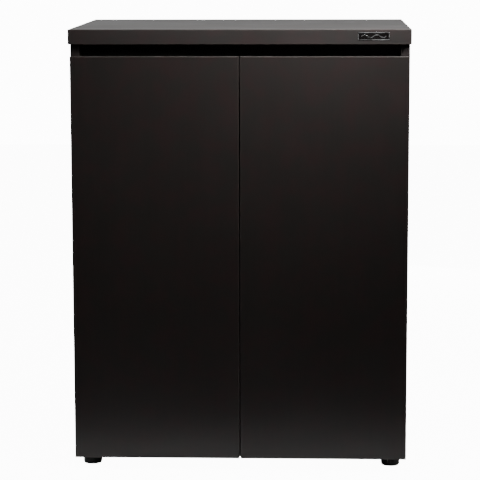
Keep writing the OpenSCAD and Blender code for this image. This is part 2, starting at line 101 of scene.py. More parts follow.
class Graph:
    """A node tree with short ways to add nodes and join them."""

    def __init__(self, tree: bpy.types.NodeTree) -> None:
        """Wraps a tree.

        Args:
            tree: The node tree that nodes are added to.
        """
        self.tree = tree

    def feed(self, socket: Socket, value: Feed) -> None:
        """Gives a socket its value.

        Args:
            socket: The input socket.
            value: Another socket to link from, or a plain value.
        """
        if isinstance(value, Socket):
            self.tree.links.new(value, socket)
        else:
            socket.default_value = value

    def add(self, kind: str, feeds: dict[str | int, Feed] | None = None,
            **settings: object) -> bpy.types.Node:
        """Adds a node.

        Args:
            kind: Blender's type name, without its ShaderNode prefix.
            feeds: Values or sockets for its inputs, by name or by number.
            settings: Properties of the node itself.

        Returns:
            The new node.
        """
        node = self.tree.nodes.new("ShaderNode" + kind)
        for name, value in settings.items():
            setattr(node, name, value)
        for key, value in (feeds or {}).items():
            self.feed(node.inputs[key], value)
        return node

    def math(self, operation: str, *terms: Feed, clamp: bool = False) -> Socket:
        """Adds a Math node and returns its output.

        Args:
            operation: The operation's name, such as MULTIPLY.
            terms: Its one to three inputs.
            clamp: Whether the result is held between 0 and 1.

        Returns:
            The output socket.
        """
        return self.add("Math", dict(enumerate(terms)), operation=operation, use_clamp=clamp).outputs[0]

    def remap(self, value: Feed, old: tuple[float, float], new: tuple[Feed, Feed]) -> Socket:
        """Maps a value from one range to another, smoothly and within the new range.

        Args:
            value: What is mapped.
            old: The range that it comes in.
            new: The range that it leaves in.

        Returns:
            The output socket.
        """
        feeds = {"Value": value, "From Min": old[0], "From Max": old[1], "To Min": new[0], "To Max": new[1]}
        return self.add("MapRange", feeds, interpolation_type="SMOOTHSTEP").outputs["Result"]

    def mix(self, share: Feed, first: Feed, second: Feed) -> Socket:
        """Mixes two colours.

        Args:
            share: How much of the second colour, from 0 to 1.
            first: The first colour.
            second: The second colour.

        Returns:
            The mixed colour's socket.
        """
        node = self.add("Mix", data_type="RGBA")
        for socket, value in zip((node.inputs[0], node.inputs[6], node.inputs[7]), (share, first, second)):
            self.feed(socket, value)
        return node.outputs[2]

    def noise(self, vector: Feed, scale: Feed, detail: float = 4.0, roughness: float = 0.55) -> Socket:
        """Adds fractal noise.

        Args:
            vector: Where the noise is read.
            scale: Features to the metre.
            detail: Number of octaves.
            roughness: Strength of each octave against the one before.

        Returns:
            The noise value's socket, from 0 to 1.
        """
        feeds = {"Vector": vector, "Scale": scale, "Detail": detail, "Roughness": roughness}
        return self.add("TexNoise", feeds).outputs[0]


def opaque(colour: Colour) -> tuple[float, float, float, float]:
    """Returns a colour with an alpha of 1."""
    return (*colour, 1.0)


class SharedGroup:
    """A shader node group that is built once and placed in many materials."""

    built: dict[str, bpy.types.NodeTree] = {}

    def __init__(self, name: str, inputs: dict[str, str], outputs: dict[str, str],
                 fill: Callable[[Graph, dict[str, Socket]], dict[str, Feed]]) -> None:
        """Describes a group; nothing is built until it is first placed.

        Args:
            name: The group's name.
            inputs: Names and socket types of its inputs.
            outputs: Names and socket types of its outputs.
            fill: Adds the nodes, given the graph and the inputs, and returns what feeds each output.
        """
        self.name = name
        self.inputs = inputs
        self.outputs = outputs
        self.fill = fill

    def tree(self) -> bpy.types.NodeTree:
        """Builds the group's tree the first time.

        Returns:
            The tree.
        """
        if self.name not in self.built:
            tree = bpy.data.node_groups.new(self.name, "ShaderNodeTree")
            for name, kind in self.inputs.items():
                tree.interface.new_socket(name=name, in_out="INPUT", socket_type=kind)
            for name, kind in self.outputs.items():
                tree.interface.new_socket(name=name, in_out="OUTPUT", socket_type=kind)
            entry = tree.nodes.new("NodeGroupInput")
            leave = tree.nodes.new("NodeGroupOutput")
            graph = Graph(tree)
            for name, value in self.fill(graph, dict(entry.outputs.items())).items():
                graph.feed(leave.inputs[name], value)
            self.built[self.name] = tree
        return self.built[self.name]

    def place(self, graph: Graph, **feeds: Feed) -> dict[str, Socket]:
        """Places the group in a material.

        Args:
            graph: The material's graph.
            feeds: Values or sockets for the group's inputs.

        Returns:
            The placed group's outputs by name.
        """
        node = graph.add("Group", node_tree=self.tree())
        for name, value in feeds.items():
            graph.feed(node.inputs[name], value)
        return dict(node.outputs.items())


FLOAT = "NodeSocketFloat"
VECTOR = "NodeSocketVector"


def _fill_grain(graph: Graph, given: dict[str, Socket]) -> dict[str, Feed]:
    """Makes streaks along one way, fine pores between them, and slow clouds.

    Args:
        graph: The group's graph.
        given: The group's inputs by name.

    Returns:
        What feeds each output.
    """
    finer, share, cloud_scale, mottle_scale = 5.0, 0.5, 7.0, 27.0
    stretched = {0: given["Vector"], 1: given["Stretch"]}
    drawn = graph.add("VectorMath", stretched, operation="MULTIPLY").outputs[0]
    streaks = graph.noise(drawn, given["Scale"], detail=6.0, roughness=0.62)
    pores = graph.noise(drawn, graph.math("MULTIPLY", given["Scale"], finer), detail=3.0, roughness=0.7)
    cloud = graph.noise(given["Vector"], cloud_scale, detail=3.0, roughness=0.5)
    mottle = graph.noise(given["Vector"], mottle_scale, detail=5.0, roughness=0.6)
    height = graph.math("ADD", graph.math("MULTIPLY", streaks, share), graph.math("MULTIPLY", pores, share))
    return {"Streaks": graph.remap(streaks, (0.3, 0.7), (0.0, 1.0)),
            "Cloud": graph.remap(cloud, (0.3, 0.7), (0.0, 1.0)),
            "Mottle": graph.remap(mottle, (0.4, 0.64), (0.0, 1.0)),
            "Height": height}


def _fill_wear(graph: Graph, given: dict[str, Socket]) -> dict[str, Feed]:
    """Masks sharp edges, broken up so that only stretches of each edge are marked: wear, and on the foil
    also a painted highlight.

    Args:
        graph: The group's graph.
        given: The group's inputs by name.

    Returns:
        What feeds each output.
    """
    break_scale = 160.0
    rounded = graph.add("Bevel", {"Radius": given["Radius"]}, samples=6).outputs["Normal"]
    flat = graph.add("NewGeometry").outputs["Normal"]
    turn = graph.add("VectorMath", {0: rounded, 1: flat}, operation="DOT_PRODUCT").outputs["Value"]
    edge = graph.remap(turn, (0.997, 0.94), (0.0, 1.0))
    broken = graph.remap(graph.noise(given["Vector"], break_scale), (0.42, 0.62), (0.45, 1.0))
    worn = graph.math("MULTIPLY", edge, broken)
    return {"Mask": graph.math("MULTIPLY", worn, given["Amount"], clamp=True)}


def _fill_dust(graph: Graph, given: dict[str, Socket]) -> dict[str, Feed]:
    """Masks a thin, uneven film of dust on whatever faces up.

    Args:
        graph: The group's graph.
        given: The group's inputs by name.

    Returns:
        What feeds each output.
    """
    film_scale = 22.0
    normal = graph.add("NewGeometry").outputs["Normal"]
    up = graph.add("SeparateXYZ", {0: normal}).outputs["Z"]
    level = graph.remap(up, (0.6, 1.0), (0.0, 1.0))
    uneven = graph.remap(graph.noise(given["Vector"], film_scale, detail=6.0), (0.35, 0.75), (0.35, 1.0))
    film = graph.math("MULTIPLY", level, uneven)
    return {"Mask": graph.math("MULTIPLY", film, given["Amount"], clamp=True)}


def _fill_moulded(graph: Graph, given: dict[str, Socket]) -> dict[str, Feed]:
    """Makes the fine spark-eroded grain of a mould, with a slow change of gloss.

    Args:
        graph: The group's graph.
        given: The group's inputs by name.

    Returns:
        What feeds each output.
    """
    finer, fine_share, slow_scale = 1.7, 0.6, 45.0
    cells = graph.add("TexVoronoi", {"Vector": given["Vector"], "Scale": given["Scale"]},
                      feature="SMOOTH_F1").outputs["Distance"]
    fine = graph.noise(given["Vector"], graph.math("MULTIPLY", given["Scale"], finer))
    slow = graph.noise(given["Vector"], slow_scale, detail=2.0)
    return {"Height": graph.math("ADD", cells, graph.math("MULTIPLY", fine, fine_share)),
            "Cloud": graph.remap(slow, (0.35, 0.65), (0.0, 1.0))}


GRAIN = SharedGroup("grain", {"Vector": VECTOR, "Stretch": VECTOR, "Scale": FLOAT},
                    {"Streaks": FLOAT, "Cloud": FLOAT, "Mottle": FLOAT, "Height": FLOAT}, _fill_grain)
WEAR = SharedGroup("edge_wear", {"Vector": VECTOR, "Radius": FLOAT, "Amount": FLOAT},
                   {"Mask": FLOAT}, _fill_wear)
DUST = SharedGroup("dust", {"Vector": VECTOR, "Amount": FLOAT}, {"Mask": FLOAT}, _fill_dust)
MOULDED = SharedGroup("moulded", {"Vector": VECTOR, "Scale": FLOAT},
                      {"Height": FLOAT, "Cloud": FLOAT}, _fill_moulded)


# ---- Finishes ----

DUST_COLOUR: Colour = (0.30, 0.29, 0.27)
FINE_DUST_COLOUR: Colour = (0.28, 0.27, 0.25)


@dataclass(frozen=True)
class Finish:
    """What every finish has: a name, a colour and a gloss."""

    name: str
    colour: Colour
    roughness: float

    def material(self) -> bpy.types.Material:
        """Builds the finish's material the first time.

        Returns:
            The material, whose name differs from the plain one of the record's slot.
        """
        title = f"{self.name}_finish"
        known = bpy.data.materials.get(title)
        if known is not None:
            return known
        made = bpy.data.materials.new(title)
        made.use_nodes = True
        made.node_tree.nodes.clear()
        made.diffuse_color = opaque(self.colour)
        graph = Graph(made.node_tree)
        place = graph.add("TexCoord").outputs["Object"]
        plain = {"Base Color": opaque(self.colour), "Roughness": self.roughness}
        shader = graph.add("BsdfPrincipled", plain)
        self.dress(graph, shader, place)
        graph.add("OutputMaterial", {"Surface": shader.outputs[0]})
        return made

    def dress(self, graph: Graph, shader: bpy.types.Node, place: Socket) -> None:
        """Feeds the shader with this finish's patterns.

        Args:
            graph: The material's graph.
            shader: Its Principled BSDF.
            place: Object coordinates.
        """
        raise NotImplementedError

    def bump(self, graph: Graph, shader: bpy.types.Node, height: Socket, depth: float) -> None:
        """Feeds the shader's normal from a height.

        Args:
            graph: The material's graph.
            shader: Its Principled BSDF.
            height: The height, from 0 to about 1.
            depth: What a height of 1 stands for.
        """
        feeds = {"Height": height, "Distance": depth, "Strength": 1.0}
        graph.feed(shader.inputs["Normal"], graph.add("Bump", feeds).outputs[0])


@dataclass(frozen=True)
class Foil(Finish):
    """Satin decor foil on a board: faint grain, a slow change of gloss, edges painted lighter as wear and
    as a painted highlight, a little dust.
    """

    way: Way = Way.ALONG_Z
    flush: Colour = (0.0272, 0.0178, 0.0174)
    streak: Colour = (0.030, 0.025, 0.023)
    # Edge colour: partly wear, partly a painted highlight standing in for light caught by the rounded
    # edges.
    worn: Colour = (0.10, 0.082, 0.072)
    dust: float = 0.05
    wear: float = 0.5
    wear_reach: float = 3.0 * MM
    grain_scale: float = 190.0
    depth: float = 0.010 * MM
    streak_share: float = 0.22
    glossier: float = 0.015
    duller: float = 0.025
    dust_dulls: float = 0.4

    def dress(self, graph: Graph, shader: bpy.types.Node, place: Socket) -> None:
        """Lays the grain, then the lighter edges (part wear, part painted highlight), then the dust over
        the foil's colour.

        Args:
            graph: The material's graph.
            shader: Its Principled BSDF.
            place: Object coordinates.
        """
        grain = GRAIN.place(graph, Vector=place, Stretch=self.way.value, Scale=self.grain_scale)
        wear = WEAR.place(graph, Vector=place, Radius=self.wear_reach, Amount=self.wear)["Mask"]
        dust = DUST.place(graph, Vector=place, Amount=self.dust)["Mask"]
        ground = graph.mix(grain["Mottle"], opaque(self.colour), opaque(self.flush))
        foil = graph.mix(graph.math("MULTIPLY", grain["Streaks"], self.streak_share), ground,
                         opaque(self.streak))
        # The edges are painted lighter here: partly wear, partly a painted highlight along the rounded
        # edges.
        rubbed = graph.mix(wear, foil, opaque(self.worn))
        graph.feed(shader.inputs["Base Color"], graph.mix(dust, rubbed, opaque(DUST_COLOUR)))
        limits = (self.roughness - self.glossier, self.roughness + self.duller)
        gloss = graph.remap(grain["Cloud"], (0.0, 1.0), limits)
        dulled = graph.math("ADD", gloss, graph.math("MULTIPLY", dust, self.dust_dulls))
        graph.feed(shader.inputs["Roughness"], dulled)
        self.bump(graph, shader, grain["Height"], self.depth)


@dataclass(frozen=True)
class MouldedPlastic(Finish):
    """Injection-moulded plastic with a fine grain, paler where it is rubbed."""

    grain_scale: float = 2600.0
    depth: float = 0.03 * MM
    wear: float = 0.5
    wear_reach: float = 0.6 * MM
    dust: float = 0.15
    pale_gain: float = 2.6
    pale_lift: float = 0.02
    gloss_swing: float = 0.05

    def dress(self, graph: Graph, shader: bpy.types.Node, place: Socket) -> None:
        """Lays the mould's grain, then the wear, then the dust.

        Args:
            graph: The material's graph.
            shader: Its Principled BSDF.
            place: Object coordinates.
        """
        grain = MOULDED.place(graph, Vector=place, Scale=self.grain_scale)
        wear = WEAR.place(graph, Vector=place, Radius=self.wear_reach, Amount=self.wear)["Mask"]
        dust = DUST.place(graph, Vector=place, Amount=self.dust)["Mask"]
        pale = tuple(min(1.0, self.pale_gain * c + self.pale_lift) for c in self.colour)
        rubbed = graph.mix(wear, opaque(self.colour), opaque(pale))
        graph.feed(shader.inputs["Base Color"], graph.mix(dust, rubbed, opaque(FINE_DUST_COLOUR)))
        limits = (self.roughness - self.gloss_swing, self.roughness + self.gloss_swing)
        gloss = graph.remap(grain["Cloud"], (0.0, 1.0), limits)
        graph.feed(shader.inputs["Roughness"], gloss)
        self.bump(graph, shader, grain["Height"], self.depth)


@dataclass(frozen=True)
class PlatedMetal(Finish):
    """Plated or die-cast metal: drawn one way, or cast with a fine grain, dulled in stretches."""

    way: Way = Way.NONE
    dull: Colour = (0.34, 0.33, 0.31)
    grain_scale: float = 900.0
    depth: float = 0.012 * MM
    wear: float = 0.6
    wear_reach: float = 0.4 * MM
    bright_gain: float = 1.15
    dull_share: float = 0.35
    glossier: float = 0.04
    duller: float = 0.08

    def dress(self, graph: Graph, shader: bpy.types.Node, place: Socket) -> None:
        """Makes it metal, then lays the drawing marks and the dulling.

        Args:
            graph: The material's graph.
            shader: Its Principled BSDF.
            place: Object coordinates.
        """
        shader.inputs["Metallic"].default_value = 1.0
        grain = GRAIN.place(graph, Vector=place, Stretch=self.way.value, Scale=self.grain_scale)
        wear = WEAR.place(graph, Vector=place, Radius=self.wear_reach, Amount=self.wear)["Mask"]
        bright = tuple(min(1.0, self.bright_gain * c) for c in self.colour)
        dulling = graph.math("MULTIPLY", grain["Cloud"], self.dull_share)
        dulled = graph.mix(dulling, opaque(self.colour), opaque(self.dull))
        graph.feed(shader.inputs["Base Color"], graph.mix(wear, dulled, opaque(bright)))
        limits = (self.roughness - self.glossier, self.roughness + self.duller)
        gloss = graph.remap(grain["Streaks"], (0.0, 1.0), limits)
        graph.feed(shader.inputs["Roughness"], gloss)
        self.bump(graph, shader, grain["Height"], self.depth)


@dataclass(frozen=True)
class Lacquer(Finish):
    """Deep gloss plastic under a clear coat, with a faint ripple."""

    coat: float = 0.3
    coat_roughness: float = 0.05
    grain_scale: float = 700.0
    tone_gain: float = 1.6
    depth: float = 0.004 * MM

    def dress(self, graph: Graph, shader: bpy.types.Node, place: Socket) -> None:
        """Adds the coat, and a slow change of gloss beneath it.

        Args:
            graph: The material's graph.
            shader: Its Principled BSDF.
            place: Object coordinates.
        """
        shader.inputs["Coat Weight"].default_value = self.coat
        shader.inputs["Coat Roughness"].default_value = self.coat_roughness
        grain = MOULDED.place(graph, Vector=place, Scale=self.grain_scale)
        lighter = tuple(self.tone_gain * c for c in self.colour)
        tone = graph.mix(grain["Cloud"], opaque(self.colour), opaque(lighter))
        graph.feed(shader.inputs["Base Color"], tone)
        self.bump(graph, shader, grain["Height"], self.depth)


@dataclass(frozen=True)
class SoftClear(Finish):
    """Soft clear plastic, slightly cloudy."""

    clearness: float = 0.75
    refraction: float = 1.48
    grain_scale: float = 1500.0
    haze: float = 0.15
    depth: float = 0.01 * MM

    def dress(self, graph: Graph, shader: bpy.types.Node, place: Socket) -> None:
        """Lets light through, and clouds the surface.

        Args:
            graph: The material's graph.
            shader: Its Principled BSDF.
            place: Object coordinates.
        """
        shader.inputs["Transmission Weight"].default_value = self.clearness
        shader.inputs["IOR"].default_value = self.refraction
        grain = MOULDED.place(graph, Vector=place, Scale=self.grain_scale)
        gloss = graph.remap(grain["Cloud"], (0.0, 1.0), (self.roughness, self.roughness + self.haze))
        graph.feed(shader.inputs["Roughness"], gloss)
        self.bump(graph, shader, grain["Height"], self.depth)


@dataclass(frozen=True)
class RawWood(Finish):
    """Turned beech with short darker flecks along its grain."""

    way: Way = Way.ALONG_X
    grain_scale: float = 1400.0
    fleck_share: float = 0.62
    depth: float = 0.08 * MM

    def dress(self, graph: Graph, shader: bpy.types.Node, place: Socket) -> None:
        """Lays the flecks over the wood's colour.

        Args:
            graph: The material's graph.
            shader: Its Principled BSDF.
            place: Object coordinates.
        """
        grain = GRAIN.place(graph, Vector=place, Stretch=self.way.value, Scale=self.grain_scale)
        dark = tuple(self.fleck_share * c for c in self.colour)
        flecked = graph.mix(grain["Streaks"], opaque(self.colour), opaque(dark))
        graph.feed(shader.inputs["Base Color"], flecked)
        self.bump(graph, shader, grain["Height"], self.depth)


FOIL_COLOUR: Colour = (0.0212, 0.0184, 0.0171)
TOP_FOIL = Foil("top_foil", FOIL_COLOUR, 0.40, way=Way.ALONG_X)
DOOR_FOIL = Foil("door_foil", FOIL_COLOUR, 0.32)
CASE_FOIL = Foil("case_foil", FOIL_COLOUR, 0.46)
LEVEL_FOIL = Foil("level_foil", FOIL_COLOUR, 0.46, way=Way.ALONG_X, dust=0.2)
FOOT_PLASTIC = MouldedPlastic("foot_plastic", (0.012, 0.012, 0.012), 0.48)
PAD_RUBBER = MouldedPlastic("pad_rubber", (0.020, 0.020, 0.020), 0.75, grain_scale=1200.0, wear=0.2)
GROMMET_PLASTIC = MouldedPlastic("grommet_plastic", (0.016, 0.016, 0.016), 0.42)
NICKEL = PlatedMetal("nickel", (0.70, 0.68, 0.64), 0.24, way=Way.ALONG_Y)
ZINC = PlatedMetal("zinc", (0.66, 0.67, 0.69), 0.30)
YELLOW_ZINC = PlatedMetal("yellow_zinc", (0.72, 0.56, 0.26), 0.32, dull=(0.42, 0.34, 0.18))
DIE_CAST = PlatedMetal("die_cast", (0.52, 0.52, 0.53), 0.42, grain_scale=1600.0, depth=0.03 * MM)
BADGE_SILVER = PlatedMetal("badge_silver", (0.86, 0.86, 0.88), 0.28, way=Way.ALONG_X, dull=(0.6, 0.6, 0.6),
                           depth=0.002 * MM)
BADGE_FIELD = Lacquer("badge_field", (0.0050, 0.0042, 0.0042), 0.20)
BUMPER = SoftClear("bumper_clear", (0.86, 0.88, 0.88), 0.22)
BEECH = RawWood("beech", (0.55, 0.38, 0.22), 0.62)


# ---- Making pieces ----


def box_of(node: str) -> tuple[Vector, Vector, Vector]:
    """Returns a CAD node's lowest corner, highest corner and middle."""
    low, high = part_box(node)
    return low, high, (low + high) / 2


def merged_copy(node: str) -> bmesh.types.BMesh:
    """Copies a CAD node's mesh, with its loose triangles joined and its flat stretches made whole.

    Args:
        node: The CAD node's name.

    Returns:
        The copy, ready to be shaped.
    """
    bm = bmesh.new()
    bm.from_mesh(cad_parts[node].data)
    bmesh.ops.remove_doubles(bm, verts=bm.verts, dist=WELD)
    bmesh.ops.dissolve_limit(bm, angle_limit=FLAT_ANGLE, verts=bm.verts, edges=bm.edges)
    return bm


def ease(bm: bmesh.types.BMesh, edges: Iterable[bmesh.types.BMEdge], radius: float,
         segments: int = 3) -> None:
    """Rounds edges.

    Args:
        bm: The mesh that holds them.
        edges: The edges to round.
        radius: How far from each edge the rounding starts.
        segments: Number of steps in the rounding.
    """
    bmesh.ops.bevel(bm, geom=list(edges), offset=radius, offset_type="OFFSET", segments=segments,
                    profile=0.5, affect="EDGES", material=-1, clamp_overlap=True)


def sharp_edges(bm: bmesh.types.BMesh, least: float = 40.0) -> list[bmesh.types.BMEdge]:
    """Returns the edges where two faces meet at more than a number of degrees."""
    return [e for e in bm.edges if len(e.link_faces) == 2 and e.calc_face_angle(0.0) > math.radians(least)]


def rim_edges(bm: bmesh.types.BMesh) -> list[bmesh.types.BMEdge]:
    """Finds the edges that lie along the twelve edges of the mesh's own box.

    Args:
        bm: The mesh.

    Returns:
        Those edges.
    """
    near = 10 * WELD
    points = [v.co for v in bm.verts]
    low = [min(p[i] for p in points) for i in range(3)]
    high = [max(p[i] for p in points) for i in range(3)]

    def sides(point: Vector) -> set[tuple[int, int]]:
        """Returns which of the box's faces a point lies on."""
        return {(i, s) for i in range(3) for s, limit in enumerate((low[i], high[i]))
                if abs(point[i] - limit) < near}

    return [e for e in bm.edges if len(sides(e.verts[0].co) & sides(e.verts[1].co)) >= 2]


def finish_piece(name: str, bm: bmesh.types.BMesh, finish: Finish, body: str,
                 replaces: Iterable[str] = (), smooth_below: float = 38.0) -> bpy.types.Object:
    """Makes an object of a finished mesh, dresses it and fixes it to its body.

    Args:
        name: The piece's name.
        bm: Its mesh, in place; it is freed here.
        finish: Its finish.
        body: The CAD body that it rides on.
        replaces: The CAD nodes that it stands for.
        smooth_below: Edges that turn by less than this many degrees are shaded smooth.

    Returns:
        The new object.
    """
    mesh = bpy.data.meshes.new(name)
    bm.to_mesh(mesh)
    bm.free()
    mesh.shade_smooth()
    mesh.set_sharp_from_angle(angle=math.radians(smooth_below))
    mesh.materials.append(finish.material())
    piece = bpy.data.objects.new(name, mesh)
    bpy.context.scene.collection.objects.link(piece)
    even = piece.modifiers.new("even_normals", "WEIGHTED_NORMAL")
    even.keep_sharp = True
    even.weight = NORMAL_WEIGHT
    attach(piece, body)
    if replaces:
        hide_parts(*replaces)
    LOG.info("piece %s: %d faces, rides on %s", name, len(mesh.polygons), body)
    return piece


def dress_node(node: str, finish: Finish) -> None:
    """Gives a CAD node that stays in view its finish.

    Args:
        node: The CAD node's name.
        finish: Its finish.
    """
    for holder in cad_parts[node].material_slots:
        holder.material = finish.material()
    LOG.info("node %s: finish %s", node, finish.name)


def turned(bm: bmesh.types.BMesh, outline: list[tuple[float, float]], steps: int) -> None:
    """Turns an outline round the Z axis into a closed, ring-shaped or solid body.

    Args:
        bm: The mesh that receives it.
        outline: Points as (radius, height), in order, with the body on their inner side.
        steps: Number of steps round the axis.
    """
    verts = [bm.verts.new((r, 0.0, z)) for r, z in outline]
    edges = [bm.edges.new(pair) for pair in zip(verts, verts[1:])]
    bmesh.ops.spin(bm, geom=[*verts, *edges], cent=(0, 0, 0), axis=(0, 0, 1), angle=math.tau, steps=steps,
                   use_merge=True)
    bmesh.ops.remove_doubles(bm, verts=bm.verts, dist=WELD)
    bmesh.ops.recalc_face_normals(bm, faces=bm.faces)


def corner_arc(middle: tuple[float, float], radius: float, start: float, end: float,
               steps: int = 6) -> list[tuple[float, float]]:
    """Returns points along an arc in an outline.

    Args:
        middle: The arc's centre, as (radius, height).
        radius: The arc's own radius.
        start: Angle of its first point, in degrees from the outward way.
        end: Angle of its last point.
        steps: Number of steps.

    Returns:
        The arc's points, both ends included.
    """
    angles = [math.radians(start + (end - start) * i / steps) for i in range(steps + 1)]
    return [(middle[0] + radius * math.cos(a), middle[1] + radius * math.sin(a)) for a in angles]


# ---- Sub-assemblies ----


@dataclass
class Casework:
    """The boards of the case and the top board, with eased edges."""

    radius: float = 0.7 * MM
    top_radius: float = 1.0 * MM
    finishes: dict[str, Finish] = field(default_factory=lambda: {
        "top_board": TOP_FOIL, "left_side_panel": CASE_FOIL, "right_side_panel": CASE_FOIL,
        "bottom_panel": LEVEL_FOIL, "back_panel": CASE_FOIL, "front_rail": LEVEL_FOIL, "shelf": LEVEL_FOIL})

    def build(self) -> None:
        """Makes each board from its CAD solid, with its bores kept."""
        for node, finish in self.finishes.items():
            bm = merged_copy(node)
            ease(bm, rim_edges(bm), self.top_radius if node == "top_board" else self.radius)
            ending = "eased" if node.endswith(("panel", "board")) else "board"
            finish_piece(f"{node}_{ending}", bm, finish, "carcass", [node])


@dataclass
class Door:
    """One door with its foil-wrapped edges and its bumpers."""

    side: Side
    radius: float = 0.9 * MM

    def build(self) -> None:
        """Makes the door from its CAD solid, and dresses its bumpers."""
        node = f"{self.side.word}_door"
        bm = merged_copy(node)
        ease(bm, rim_edges(bm), self.radius, segments=4)
        finish_piece(f"{node}_leaf", bm, DOOR_FOIL, node, [node])
        dress_node(f"{node}_bumpers", BUMPER)


@dataclass
class Hinges:
    """The concealed hinges: stamped parts with eased edges, their pins and their screws."""

    radius: float = 0.22 * MM

    def build(self) -> None:
        """Makes the cups, arms and plates, and dresses the pins and screws."""
        for side in Side:
            for place in ("upper", "lower"):
                for part in ("arm", "plate", "cup"):
                    node = f"{side.word}_{place}_hinge_{part}"
                    body = f"{side.word}_door" if part == "cup" else "carcass"
                    bm = merged_copy(node)
                    ease(bm, sharp_edges(bm), self.radius, segments=2)
                    finish_piece(f"{node}_eased", bm, NICKEL, body, [node])
            dress_node(f"{side.word}_hinge_pins", ZINC)
            dress_node(f"{side.word}_cup_screws", ZINC)
        dress_node("hinge_plate_screws", ZINC)
        dress_node("hinge_arm_screws", ZINC)


@dataclass
class Badge:
    """The badge: a glossy field with a bright rim and one ripple in relief, rounded where they face up."""

    field_radius: float = 0.15 * MM
    top_radius: float = 0.32 * MM
    other_radius: float = 0.08 * MM
    square: float = 60.0
    up: float = 0.5
    outward: float = -0.9

    def build(self) -> None:
        """Makes the field and the relief from their CAD solids."""
        bm = merged_copy("badge_plate")
        ease(bm, sharp_edges(bm, self.square), self.field_radius, segments=2)
        finish_piece("badge_field", bm, BADGE_FIELD, "carcass", ["badge_plate"])
        self._relief()

    def _relief(self) -> None:
        """Rounds the relief's upper edges more than the others, so that they catch the light."""
        bm = merged_copy("badge_emblem")
        front = min(v.co.y for v in bm.verts) + WELD
        outer = [e for e in sharp_edges(bm, self.square) if all(v.co.y < front for v in e.verts)]
        upper = [e for e in outer if any(f.normal.z > self.up for f in e.link_faces)]
        ease(bm, upper, self.top_radius, segments=4)
        rest = [e for e in sharp_edges(bm, self.square)
                if any(f.normal.y < self.outward for f in e.link_faces)]
        ease(bm, rest, self.other_radius, segments=1)
        finish_piece("badge_relief", bm, BADGE_SILVER, "carcass", ["badge_emblem"])


